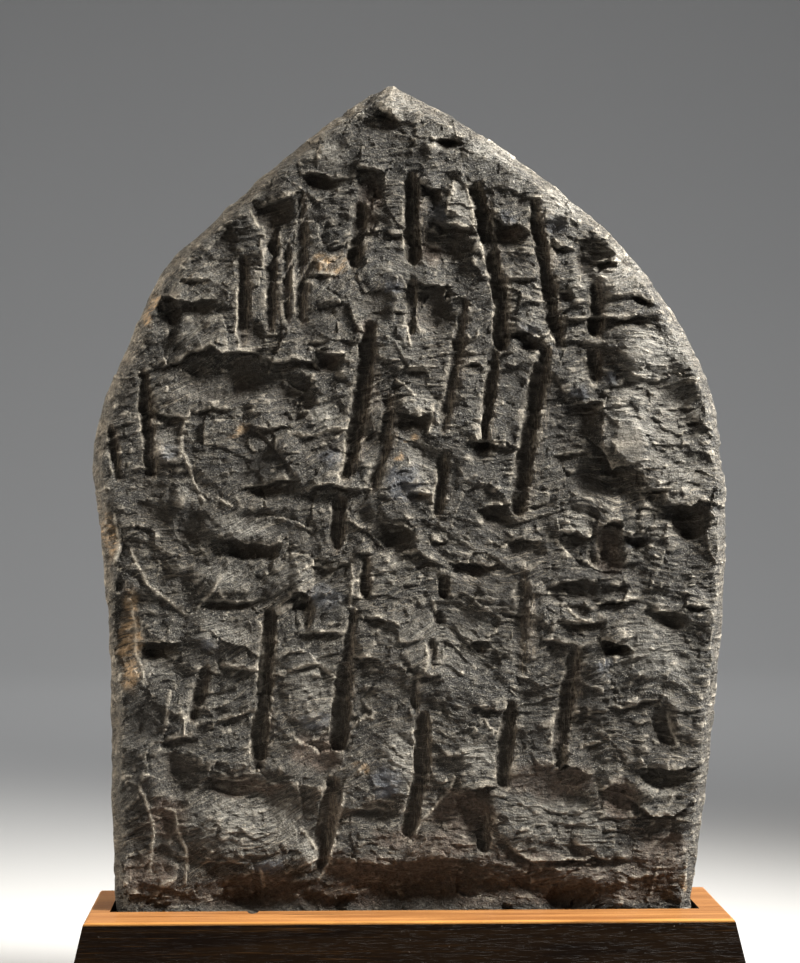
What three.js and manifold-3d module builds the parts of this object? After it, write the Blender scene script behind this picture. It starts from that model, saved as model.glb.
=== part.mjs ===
// A leaf-shaped slab of dark stone, hewn with a point chisel, standing in a slot in a battered wooden plinth.
// Millimetres, +Z up. The origin is the middle of the plinth's underside, and the hewn face looks along -Y.
import * as THREE from "three";
import { mergeVertices } from "three/addons/utils/BufferGeometryUtils.js";
import Module from "manifold-3d";

const wasm = await Module();
wasm.setup();

// The stone
const stoneHeight = 690;
const stoneWidth = 513;
const stoneThickness = 76;
const arrisWidth = 9;
const arrisDepth = 18;

// The plinth
const plinthHeight = 80;
const batterDegrees = 12.5;
const railDepth = 48;
const rearMargin = 27;
const leftMargin = 16.5;
const rightMargin = 20.5;
const edgeEase = 2.5;

// How the stone sits in the plinth, and how the rail meets the block
const slotDepth = 26;
const slotFaceClearance = 1.5;
const slotEndClearance = 2.5;
const jointGap = 0.3;

// The chip out of the rail's rear edge, measured from the plinth's middle
const railChipAcross = -124;
const railChipWidth = 9.5;
const railChipReach = 12;
const railChipDepth = 5;

// The point chisel, and how the plainer far side and the edges are dressed
const chiselWidth = 10;
const chiselDepth = 6;
const farMargin = 42;
const farRowPitch = 96;
const farStrokePitch = 60;
const farStrokeLength = 44;
const farStrokeWidth = 9;
const farStrokeDepth = 2.2;
const edgeFlakeCount = 38;
const edgeFlakeSize = 17;
const edgeFlakeDepth = 4.5;

// Scars are as deep as their number in the table says, in this unit
const scarDepthUnit = 1;

// Left and right edges of the slab, from the foot up to the peak and down again
const leftEdge = [
  [-234, 0], [-237, 110], [-239, 230], [-248, 345], [-253, 380], [-246, 427], [-225, 476],
  [-195, 541], [-162, 573], [-88, 639], [-43, 673], [-13, 690],
];
const rightEdge = [
  [18, 673], [77, 639], [163, 573], [215, 508], [247, 443], [257, 380], [260, 345],
  [256, 247], [247, 150], [235, 51], [230, 0],
];

// The outline and the carving are drawn on one sheet, and are stretched from the drawing to the stone's size
const drawnWidth = Math.max(...rightEdge.map(([x]) => x)) - Math.min(...leftEdge.map(([x]) => x));
const drawnHeight = Math.max(...leftEdge.map(([, z]) => z));
const across = (x) => (x * stoneWidth) / drawnWidth;
const up = (z) => (z * stoneHeight) / drawnHeight;

// Chisel strokes on the hewn face: width and depth as shares of the chisel's, then points along the stroke
const strokes = [
  [0.8, 0.5, [-85, 597], [-85, 497]],
  [1.0, 0.9, [-37, 590], [-43, 543]],
  [1.1, 1.1, [3, 613], [5, 548]],
  [0.8, 0.8, [4, 527], [3, 489]],
  [1.0, 1.1, [55, 605], [66, 561], [75, 517], [75, 477]],
  [0.8, 0.8, [70, 473], [61, 397]],
  [0.95, 1.0, [102, 591], [109, 549], [115, 509], [122, 483]],
  [1.1, 1.2, [111, 473], [104, 445], [93, 377], [89, 345]],
  [1.0, 0.9, [152, 527], [152, 489]],
  [1.2, 1.0, [150, 471], [151, 453]],
  [1.15, 1.1, [-30, 495], [-37, 433], [-45, 393], [-51, 373]],
  [0.8, 0.7, [46, 513], [38, 465], [29, 413]],
  [0.9, 0.7, [-16, 437], [-17, 401], [-29, 365]],
  [0.9, 0.9, [-131, 547], [-131, 481]],
  [0.8, 0.5, [-108, 577], [-110, 493]],
  [0.6, 0.4, [-97, 561], [-96, 497]],
  [0.9, 0.9, [-211, 455], [-205, 377]],
  [0.6, 0.7, [-237, 413], [-231, 371]],
  [0.8, 0.9, [30, 391], [24, 343]],
  [0.9, 0.9, [-54, 353], [-57, 317]],
  [0.9, 1.1, [29, 291], [29, 279]],
  [0.7, 0.9, [25, 263], [25, 257]],
  [1.0, 1.2, [-110, 263], [-115, 201], [-120, 141]],
  [0.7, 0.7, [-43, 265], [-49, 227]],
  [1.1, 1.2, [-50, 221], [-55, 157]],
  [1.0, 1.2, [13, 181], [13, 145], [6, 113], [1, 89]],
  [0.5, 0.6, [6, 211], [6, 185]],
  [1.0, 1.1, [84, 189], [79, 161], [77, 127]],
  [1.0, 1.0, [-60, 129], [-66, 89], [-69, 61]],
  [1.0, 1.0, [136, 231], [131, 209], [122, 161], [123, 141]],
  [0.9, 1.0, [-161, 219], [-172, 181]],
  [0.8, 0.9, [62, 101], [62, 73]],
  [0.8, 0.9, [151, 329], [151, 303]],
  [1.2, 0.5, [93, 297], [91, 217]],
  [0.9, 0.7, [-80, 281], [-80, 253]],
  [0.8, 0.9, [-33, 305], [-33, 279]],
  [0.7, 0.7, [20, 241], [20, 221]],
  [0.8, 0.7, [60, 237], [59, 233]],
];

// Flake scars on the hewn face: middle, half width, half height and depth, then how far the scar leans,
// so that it bites deeper under its upper rim, and how far it swings, so that it bites deeper on its left
const scars = [
  [-28, 657, 24, 11, 4, 12, 0],
  [35, 640, 17, 7, 4, 12, 0],
  [21, 575, 13, 30, 6, 0, 0],
  [80, 567, 17, 13, 6, 18, 0],
  [118, 575, 11, 11, 5, 12, 0],
  [151, 551, 17, 21, 8, 10, 0],
  [188, 514, 11, 6, 5, 15, 0],
  [186, 497, 20, 7, 4, 15, 0],
  [98, 483, 13, 12, 6, 10, 0],
  [-109, 587, 21, 15, 5, 10, 0],
  [-69, 607, 21, 9, 5, 20, 0],
  [-192, 503, 12, 28, 6, 0, 8],
  [-162, 505, 23, 9, 5, 20, 0],
  [-141, 452, 50, 20, 9, 16, 0],
  [-94, 439, 22, 24, 8, 8, 0],
  [-69, 463, 18, 8, 5, 15, 0],
  [-27, 511, 18, 20, 6, 5, 0],
  [26, 507, 22, 21, 8, 12, 0],
  [34, 557, 23, 12, 6, 15, 0],
  [134, 409, 26, 40, 7, 0, 0],
  [163, 375, 32, 24, 10, 6, -6],
  [152, 435, 13, 6, 5, 20, 0],
  [229, 338, 17, 16, 8, 8, 0],
  [74, 339, 15, 11, 6, 15, 0],
  [3, 414, 16, 12, 6, 15, 0],
  [-26, 399, 15, 15, 4, 5, 0],
  [59, 395, 11, 8, 4, 15, 0],
  [-14, 321, 24, 13, 7, 10, 0],
  [50, 300, 22, 8, 5, 18, 0],
  [94, 314, 19, 13, 5, 10, 0],
  [-34, 342, 9, 10, 5, 5, 0],
  [-69, 355, 27, 7, 4, 20, 0],
  [-104, 362, 27, 8, 5, 20, 0],
  [-174, 337, 13, 20, 7, 5, 0],
  [-206, 347, 26, 17, 4, 12, 0],
  [-130, 314, 28, 10, 6, 22, 0],
  [-176, 291, 8, 7, 5, 10, 0],
  [-138, 273, 32, 9, 6, 20, 0],
  [-198, 235, 18, 7, 6, 20, 0],
  [-184, 141, 20, 23, 6, 14, 0],
  [-141, 125, 34, 9, 6, 18, 0],
  [-194, 99, 13, 11, 4, 10, 10],
  [-72, 147, 20, 15, 5, 12, 0],
  [-24, 103, 21, 9, 5, 18, 0],
  [43, 103, 30, 20, 7, 12, 0],
  [114, 127, 40, 20, 6, 8, 0],
  [98, 193, 24, 16, 5, 8, 0],
  [174, 118, 17, 16, 6, 10, 0],
  [207, 175, 12, 20, 7, 0, 0],
  [226, 182, 11, 13, 5, 10, 0],
  [206, 132, 22, 12, 6, 16, 0],
  [168, 235, 16, 8, 6, 15, 0],
  [136, 263, 15, 8, 5, 18, 0],
  [152, 281, 30, 7, 4, 20, 0],
  [214, 259, 14, 9, 4, 12, 0],
  [163, 311, 14, 22, 7, 0, 0],
  [186, 323, 12, 7, 4, 10, 0],
  [-54, 47, 100, 26, 9, 18, 0],
  [26, 49, 50, 24, 8, 14, 0],
  [98, 43, 70, 18, 6, 14, 0],
  [203, 84, 20, 15, 5, 12, 0],
  [-29, 603, 13, 13, 6, 0, 0],
  [-146, 563, 13, 14, 4, 10, 0],
  [-123, 487, 10, 13, 5, 0, 0],
  [-246, 325, 18, 22, 9, 0, 24],
  [-240, 241, 27, 42, 11, 0, 22],
  [-231, 285, 5, 6, 7, 0, 0],
];

// A scar's cutter is an ellipsoid whose middle stands this share of its own depth in front of the face
const scarStandOff = 0.55;
const scarFineness = 1;
const capFineness = 1;
const strokeSides = 7;
const outlineFineness = 3;
const easeFineness = 4;

// Edge flakes vary from the least of these shares of their size and depth by up to the whole range
const flakeLeast = 0.6;
const flakeRange = 0.8;
const flakeTallest = 1.3;
const flakeFlattening = 0.5;
const flakeStray = 0.4;
const flakeInsetShare = 0.6;
const flakeLeanDegrees = 7;
const flakeSwingDegrees = 12;

// Cuts start this far outside the piece they go into
const overshoot = 4;
const weldTolerance = 1e-4;

// Sizes that follow from the ones above
const batter = Math.tan(THREE.MathUtils.degToRad(batterDegrees));
const slotFloor = plinthHeight - slotDepth;
const slotWidth = stoneThickness + 2 * slotFaceClearance;
const outline = outlineShape();
const outlinePoints = outline.extractPoints(outlineFineness).shape;
const footSides = sidesBetween(0, slotDepth);
const slotLeft = footSides.left - slotEndClearance;
const slotRight = footSides.right + slotEndClearance;
const topWidth = slotRight - slotLeft + leftMargin + rightMargin;
const topDepth = railDepth + slotWidth + rearMargin;
const seamY = -topDepth / 2 + railDepth;
const stoneFaceY = seamY + slotFaceClearance;
const stoneShift = -topWidth / 2 + leftMargin - slotLeft;

// Closed geometry to a solid for joining and cutting, and back
function solidFrom(geometry) {
  const bare = geometry.clone();
  bare.deleteAttribute("normal");
  bare.deleteAttribute("uv");
  const welded = mergeVertices(bare, weldTolerance);
  return new wasm.Manifold(new wasm.Mesh({
    numProp: 3,
    vertProperties: new Float32Array(welded.attributes.position.array),
    triVerts: new Uint32Array(welded.index.array),
  }));
}

function geometryFrom(solid) {
  const mesh = solid.getMesh();
  const geometry = new THREE.BufferGeometry();
  geometry.setAttribute("position", new THREE.BufferAttribute(mesh.vertProperties, mesh.numProp));
  geometry.setIndex(new THREE.BufferAttribute(mesh.triVerts, 1));
  geometry.computeVertexNormals();
  return geometry;
}

// The slab's outline, seen from the hewn face: x across, y up from the foot
function outlineShape() {
  const points = (edge) => edge.map(([x, z]) => new THREE.Vector2(across(x), up(z)));
  const [foot, ...rise] = points(leftEdge);
  const shape = new THREE.Shape();
  shape.moveTo(foot.x, foot.y);
  shape.splineThru(rise);
  shape.splineThru(points(rightEdge));
  shape.closePath();
  return shape;
}

// Where the outline starts and ends across the slab at one height
function sidesAt(height) {
  const crossings = [];
  outlinePoints.forEach((from, index) => {
    const to = outlinePoints[(index + 1) % outlinePoints.length];
    if ((from.y <= height) !== (to.y <= height)) {
      crossings.push(from.x + ((height - from.y) / (to.y - from.y)) * (to.x - from.x));
    }
  });
  return { left: Math.min(...crossings), right: Math.max(...crossings) };
}

// The widest that the outline gets between two heights
function sidesBetween(low, high) {
  const inside = outlinePoints.filter((point) => point.y >= low && point.y <= high).map((point) => point.x);
  const top = sidesAt(high);
  return { left: Math.min(top.left, ...inside), right: Math.max(top.right, ...inside) };
}

// The slab before it is carved, its hewn face at y = 0 and its far side at y = stoneThickness
function plainSlab() {
  const geometry = new THREE.ExtrudeGeometry(outline, {
    depth: stoneThickness - 2 * arrisDepth,
    curveSegments: outlineFineness,
    bevelThickness: arrisDepth,
    bevelSize: arrisWidth,
    bevelOffset: -arrisWidth,
    bevelSegments: 1,
  });
  geometry.rotateX(Math.PI / 2);
  geometry.translate(0, stoneThickness - arrisDepth, 0);
  return solidFrom(geometry);
}

// An ellipsoid that cuts a scar of the given half sizes and depth into a surface square to Y.
// It is turned by an angle that depends on its place, so that no two scars have the same facets.
function scarCutter(x, y, z, halfWidth, halfHeight, depth, leanDegrees, swingDegrees) {
  const reach = depth / (1 - scarStandOff);
  const spread = 1 / Math.sqrt(1 - scarStandOff * scarStandOff);
  const geometry = new THREE.IcosahedronGeometry(1, scarFineness);
  geometry.rotateY(x);
  geometry.scale(halfWidth * spread, reach, halfHeight * spread);
  geometry.rotateX(THREE.MathUtils.degToRad(leanDegrees));
  geometry.rotateZ(THREE.MathUtils.degToRad(swingDegrees));
  geometry.translate(x, y - reach * scarStandOff, z);
  return solidFrom(geometry);
}

// A row of round-ended grooves along a path of points that lie on the surface
function strokeCutter(path, width, depth, outward) {
  const radius = depth < width / 2 ? (width * width / 4 + depth * depth) / (2 * depth) : width / 2;
  const lift = outward.clone().multiplyScalar(radius - depth);
  const upright = new THREE.Vector3(0, 1, 0);
  const pieces = path.slice(1).map((end, index) => {
    const start = path[index];
    const along = end.clone().sub(start);
    const geometry = new THREE.CapsuleGeometry(radius, along.length(), capFineness, strokeSides);
    const middle = start.clone().add(end).multiplyScalar(0.5).add(lift);
    geometry.applyQuaternion(new THREE.Quaternion().setFromUnitVectors(upright, along.normalize()));
    geometry.translate(middle.x, middle.y, middle.z);
    return solidFrom(geometry);
  });
  return pieces.reduce((whole, piece) => whole.add(piece));
}

// The flakes knocked off both arrises, spaced along the outline and varied by the golden ratio
function edgeFlakes() {
  const goldenShare = (Math.sqrt(5) - 1) / 2;
  const rimPoints = outlinePoints.map((point) => new THREE.Vector3(point.x, 0, point.y));
  const rim = new THREE.CatmullRomCurve3(rimPoints, true);
  const flakes = [];
  for (let index = 0; index < edgeFlakeCount; index += 1) {
    const chance = (index * goldenShare) % 1;
    const otherChance = (index * index * goldenShare) % 1;
    const place = rim.getPointAt((index + flakeStray * chance) / edgeFlakeCount);
    const halfWidth = edgeFlakeSize * (flakeLeast + flakeRange * chance);
    const halfHeight = halfWidth * (flakeTallest - flakeFlattening * chance);
    const depth = edgeFlakeDepth * (flakeLeast + flakeRange * otherChance);
    const lean = flakeLeanDegrees * (2 * chance - 1);
    const swing = flakeSwingDegrees * (1 - 2 * chance);
    const inward = new THREE.Vector3(-place.x, 0, stoneHeight / 2 - place.z);
    place.add(inward.setLength(arrisWidth * flakeInsetShare));
    const far = index % 2 === 1;
    const flake = scarCutter(0, 0, 0, halfWidth, halfHeight, depth, lean, swing);
    const turned = far ? flake.rotate([0, 0, 180]) : flake;
    flakes.push(turned.translate([place.x, far ? stoneThickness : 0, place.z]));
  }
  return flakes.filter((flake) => flake.boundingBox().min[2] > slotDepth);
}

// Rows of shallow, even strokes over the plainer far side, inside a plain margin
function farStrokes() {
  const outward = new THREE.Vector3(0, 1, 0);
  const cutters = [];
  const highestFoot = stoneHeight - farMargin - farStrokeLength;
  for (let foot = slotDepth + farMargin; foot < highestFoot; foot += farRowPitch) {
    const low = sidesAt(foot);
    const high = sidesAt(foot + farStrokeLength);
    const left = Math.max(low.left, high.left) + farMargin;
    const right = Math.min(low.right, high.right) - farMargin;
    const count = Math.max(0, Math.floor((right - left) / farStrokePitch));
    for (let index = 0; index <= count && right > left; index += 1) {
      const x = (left + right) / 2 + (index - count / 2) * farStrokePitch;
      const start = new THREE.Vector3(x, stoneThickness, foot + farStrokeLength);
      const end = new THREE.Vector3(x - farStrokeWidth / 2, stoneThickness, foot);
      cutters.push(strokeCutter([start, end], farStrokeWidth, farStrokeDepth, outward));
    }
  }
  return cutters;
}

// The hewn slab: scars first, then strokes laid on the scarred surface, then the edges and the far side
function hewnSlab() {
  const cutAll = (solid, cutters) => cutters.reduce((left, cutter) => left.subtract(cutter), solid);
  const scarred = cutAll(plainSlab(), scars.map(([x, z, halfWidth, halfHeight, depth, lean, swing]) =>
    scarCutter(across(x), 0, up(z), across(halfWidth), up(halfHeight), depth * scarDepthUnit, lean, swing)));
  const surface = new THREE.Mesh(geometryFrom(scarred), new THREE.MeshBasicMaterial());
  const outward = new THREE.Vector3(0, -1, 0);
  const onSurface = ([x, z]) => {
    const from = new THREE.Vector3(across(x), -stoneThickness, up(z));
    const [hit] = new THREE.Raycaster(from, outward.clone().negate()).intersectObject(surface);
    return hit ? hit.point : new THREE.Vector3(from.x, 0, from.z);
  };
  const cutters = strokes.map(([widthShare, depthShare, ...path]) =>
    strokeCutter(path.map(onSurface), chiselWidth * widthShare, chiselDepth * depthShare, outward));
  return cutAll(cutAll(cutAll(scarred, cutters), edgeFlakes()), farStrokes());
}

// The plinth as one battered block with eased edges, before the rail is parted from it
function batteredBlock() {
  const halfWidth = topWidth / 2 - edgeEase;
  const halfDepth = topDepth / 2 - edgeEase;
  const plan = new THREE.Shape([
    new THREE.Vector2(-halfWidth, -halfDepth),
    new THREE.Vector2(halfWidth, -halfDepth),
    new THREE.Vector2(halfWidth, halfDepth),
    new THREE.Vector2(-halfWidth, halfDepth),
  ]);
  const geometry = new THREE.ExtrudeGeometry(plan, {
    depth: plinthHeight - 2 * edgeEase,
    bevelThickness: edgeEase,
    bevelSize: edgeEase,
    bevelSegments: easeFineness,
  });
  geometry.translate(0, 0, edgeEase);
  const position = geometry.attributes.position;
  for (let index = 0; index < position.count; index += 1) {
    const spread = (plinthHeight - position.getZ(index)) * batter;
    position.setX(index, position.getX(index) + Math.sign(position.getX(index)) * spread);
    position.setY(index, position.getY(index) + Math.sign(position.getY(index)) * spread);
  }
  return solidFrom(geometry);
}

// A box given by its lowest and highest corners
function boxBetween(low, high) {
  const geometry = new THREE.BoxGeometry(high[0] - low[0], high[1] - low[1], high[2] - low[2]);
  geometry.translate((low[0] + high[0]) / 2, (low[1] + high[1]) / 2, (low[2] + high[2]) / 2);
  return solidFrom(geometry);
}

// The half of a solid in front of a plane square to Y, or behind it
function partedAt(solid, y, keepFront) {
  const reach = topWidth + plinthHeight;
  const low = [-reach, keepFront ? -reach : y, -overshoot];
  const high = [reach, keepFront ? y : reach, plinthHeight + overshoot];
  return solid.intersect(boxBetween(low, high));
}

// The block behind the seam, with the slot open towards the rail
function plinthBlock() {
  const block = partedAt(batteredBlock(), seamY + jointGap / 2, false);
  const low = [slotLeft + stoneShift, seamY - overshoot, slotFloor];
  const high = [slotRight + stoneShift, seamY + slotWidth, plinthHeight + overshoot];
  return block.subtract(boxBetween(low, high));
}

// The rail that closes the slot in front, with the small chip out of its rear edge
function plinthRail() {
  const rail = partedAt(batteredBlock(), seamY - jointGap / 2, true);
  const chip = new THREE.IcosahedronGeometry(1, scarFineness);
  chip.scale(railChipWidth / 2, railChipReach, railChipDepth);
  chip.translate(railChipAcross, seamY, plinthHeight);
  return rail.subtract(solidFrom(chip));
}

const stoneMaterial = new THREE.MeshStandardMaterial({ color: 0x3d3b38, roughness: 0.88, metalness: 0 });
const blockMaterial = new THREE.MeshStandardMaterial({ color: 0x8a5428, roughness: 0.34, metalness: 0 });
const railMaterial = new THREE.MeshStandardMaterial({ color: 0x6e4222, roughness: 0.34, metalness: 0 });

function namedMesh(name, solid, material) {
  const mesh = new THREE.Mesh(geometryFrom(solid), material);
  mesh.name = name;
  return mesh;
}

const stele = namedMesh("stele", hewnSlab(), stoneMaterial);
stele.position.set(stoneShift, stoneFaceY, slotFloor);

const group = new THREE.Group();
group.add(namedMesh("plinth_block", plinthBlock(), blockMaterial));
group.add(namedMesh("plinth_front_rail", plinthRail(), railMaterial));
group.add(stele);

export default group;
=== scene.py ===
"""A rough-hewn, leaf-shaped stone in a battered wooden plinth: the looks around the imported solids.

All sizes are in metres. The hewn face looks along -Y, and +Z is up.
"""
import itertools
import math

import bpy
import numpy as np
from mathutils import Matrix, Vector


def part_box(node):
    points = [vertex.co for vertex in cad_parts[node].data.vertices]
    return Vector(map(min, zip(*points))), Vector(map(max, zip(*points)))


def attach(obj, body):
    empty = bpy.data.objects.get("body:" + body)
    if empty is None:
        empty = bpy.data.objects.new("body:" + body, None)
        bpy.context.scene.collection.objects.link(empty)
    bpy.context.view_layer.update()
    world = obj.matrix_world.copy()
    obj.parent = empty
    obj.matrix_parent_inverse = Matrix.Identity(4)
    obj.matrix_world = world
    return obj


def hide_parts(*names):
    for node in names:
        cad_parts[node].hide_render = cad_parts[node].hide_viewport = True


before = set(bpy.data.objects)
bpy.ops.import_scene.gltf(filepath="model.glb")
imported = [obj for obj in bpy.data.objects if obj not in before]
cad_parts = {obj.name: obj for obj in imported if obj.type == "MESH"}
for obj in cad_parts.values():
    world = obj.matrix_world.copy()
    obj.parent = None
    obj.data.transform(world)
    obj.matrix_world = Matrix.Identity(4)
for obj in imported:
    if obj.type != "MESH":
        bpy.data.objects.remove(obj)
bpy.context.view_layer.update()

stone_low, stone_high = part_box("stele")
_, block_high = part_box("plinth_block")
FACE_Y = stone_low.y
PLINTH_TOP = block_high.z

# How finely the stone is meshed, how many triangles are kept, and where a bend counts as a sharp edge
VOXEL = 0.00135
STONE_TRIANGLES = 190_000
SHARP_ANGLE = math.radians(20)

# Rounds of smoothing: for the solid's carving, and more for the directions in which relief stands out
SOFTEN_ROUNDS = 14
BROAD_ROUNDS = 34

# How far relief may carry the stone beyond its solid's box, along X, Y and Z
PROUDEST = (0.001, 0.006, 0.0)

# The fine crack in the rail's top: from and to along X, and its place along Y
RAIL_CRACK = (-0.103, -0.042, -0.045)

# The camera of the photograph: where it stands, how far it turns to the right, and its lens
CAMERA_PLACE = (-0.075, -1.988, 0.423)
CAMERA_TURN = math.radians(2.0)
CAMERA_LENS = 91.6
SENSOR = 36.0

# Where the stone is stained or freshly broken: ovals on the sheet below, as middle and half sizes
BROWN = [
    (260, 888, 74, 18), (375, 880, 50, 30), (430, 872, 40, 34), (520, 872, 60, 30), (600, 878, 60, 28),
    (300, 896, 200, 12), (560, 896, 150, 12), (655, 868, 40, 32), (150, 876, 34, 30), (335, 862, 26, 16),
    (465, 812, 42, 24), (550, 780, 58, 22), (622, 800, 24, 26), (247, 785, 44, 12), (318, 752, 32, 22),
    (612, 552, 18, 30), (665, 852, 34, 22), (440, 845, 46, 18), (170, 815, 24, 26), (395, 838, 26, 12),
    (510, 230, 16, 12), (330, 360, 14, 10), (430, 250, 18, 14), (370, 205, 14, 34), (368, 325, 14, 12),
]
OCHRE = [
    (111, 535, 9, 30), (130, 632, 14, 48), (134, 672, 14, 20), (418, 432, 4, 5), (406, 438, 3, 3),
    (403, 453, 5, 4), (362, 765, 10, 7), (330, 262, 22, 13), (152, 300, 9, 12), (145, 318, 8, 12),
    (425, 494, 10, 5), (690, 885, 5, 12), (240, 428, 12, 6),
]
BLUISH = [
    (511, 218, 12, 7), (557, 224, 11, 12), (529, 326, 12, 7), (583, 392, 14, 9), (614, 377, 7, 10),
    (405, 482, 22, 20), (640, 538, 14, 8), (606, 668, 11, 12), (315, 720, 20, 9), (386, 780, 18, 18),
    (440, 212, 10, 12), (395, 283, 12, 8), (330, 458, 16, 10), (210, 645, 10, 8), (325, 595, 20, 12),
    (270, 866, 18, 8), (170, 450, 14, 10),
]

# The hewn face is drawn on a sheet of 0.8 mm steps, x to the right and y down from above the peak
SHEET_STEP = 0.0008
SHEET_MIDDLE = 409.4
SHEET_FOOT = 1008.75

# A plain chisel stroke: half its width in sheet steps, its depth, and where across it, from -1 at its left
# lip, it is deepest and its right side ends
STROKE_HALF_WIDTH = 6.8
STROKE_DEPTH = 0.0014
STROKE_DEEPEST = -0.35
STROKE_RIGHT = 1.5

# The strokes: width and depth as shares of the plain one's, then points along the stroke
STROKES = [
    (0.8, 0.6, (302, 195), (302, 320)),
    (1.0, 1.2, (362, 204), (354, 262)),
    (1.1, 1.1, (412, 175), (414, 256)),
    (0.8, 0.8, (413, 282), (412, 330)),
    (1.0, 1.05, (477, 185), (490, 240), (502, 295), (502, 345)),
    (0.8, 0.8, (496, 350), (484, 445)),
    (0.95, 1.0, (536, 202), (544, 255), (552, 305), (560, 338)),
    (1.25, 1.05, (547, 350), (538, 385), (524, 470), (519, 510)),
    (1.0, 0.9, (598, 282), (598, 330)),
    (1.2, 1.0, (596, 352), (597, 375)),
    (1.2, 0.85, (370, 322), (362, 400), (352, 450), (344, 475)),
    (0.85, 0.6, (466, 300), (456, 360), (444, 425)),
    (1.0, 0.5, (388, 395), (387, 440), (372, 485)),
    (0.9, 0.9, (244, 258), (244, 340)),
    (0.8, 0.45, (273, 220), (270, 325)),
    (0.6, 0.4, (287, 240), (288, 320)),
    (0.9, 0.9, (144, 372), (152, 470)),
    (0.7, 0.7, (112, 425), (119, 478)),
    (0.8, 0.9, (446, 452), (438, 512)),
    (0.9, 0.9, (340, 500), (337, 545)),
    (0.9, 1.1, (444, 578), (444, 592)),
    (0.7, 0.9, (439, 612), (439, 620)),
    (1.0, 1.35, (270, 612), (264, 690), (258, 765)),
    (0.7, 0.7, (354, 610), (347, 658)),
    (1.1, 1.35, (346, 665), (339, 745)),
    (1.0, 1.35, (424, 715), (424, 760), (416, 800), (409, 830)),
    (0.5, 0.6, (416, 678), (416, 710)),
    (1.0, 1.25, (513, 705), (507, 740), (504, 782)),
    (1.0, 1.0, (333, 780), (326, 830), (322, 865)),
    (1.0, 1.0, (578, 652), (572, 680), (560, 740), (562, 765)),
    (0.9, 1.0, (207, 668), (193, 715)),
    (0.8, 0.9, (486, 815), (486, 850)),
    (0.8, 0.9, (597, 530), (597, 562)),
    (1.2, 0.5, (524, 570), (522, 670)),
    (0.9, 0.7, (308, 590), (308, 625)),
    (0.8, 0.9, (367, 560), (367, 592)),
    (0.7, 0.7, (433, 640), (433, 665)),
    (0.8, 0.7, (483, 645), (482, 650)),
]

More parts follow.
